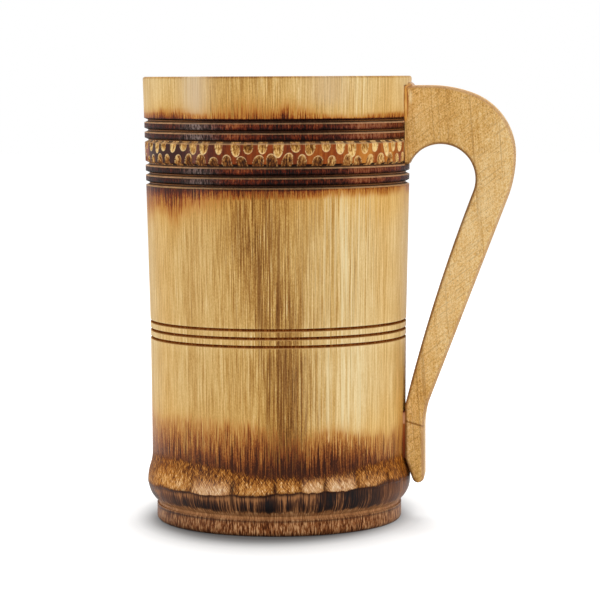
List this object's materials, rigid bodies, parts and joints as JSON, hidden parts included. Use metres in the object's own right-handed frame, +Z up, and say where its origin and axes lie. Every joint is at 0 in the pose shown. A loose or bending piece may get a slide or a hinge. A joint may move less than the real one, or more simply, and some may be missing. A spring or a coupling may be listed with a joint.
{
  "type": "bamboo mug",
  "caption": "Tall bamboo mug with turned grooves, a gouge-cut band, a swollen node above its foot ring and a sawn wooden hook handle, for holding drinks.",
  "frame": {"origin": "middle of the foot ring, on the plane that the mug stands on", "axes": "+Z up along the culm, +X towards the handle, the mug is mirror-symmetric about the XZ plane"},
  "size_m": [0.1223, 0.0882, 0.146],
  "materials": {
    "bamboo": "varnished, scorched at the grooves and the node",
    "handle_wood": "sanded, satin varnish",
    "peg_wood": "bare",
    "cured_glue": "satin"
  },
  "bodies": {
    "root": {"culm_body": "bamboo", "handle": "handle_wood", "upper_peg_top": "peg_wood", "upper_peg_bottom": "peg_wood", "lower_peg": "peg_wood", "upper_glue_bed": "cured_glue", "upper_glue_bead": "cured_glue", "lower_glue_bed": "cured_glue"}
  },
  "joints": []
}
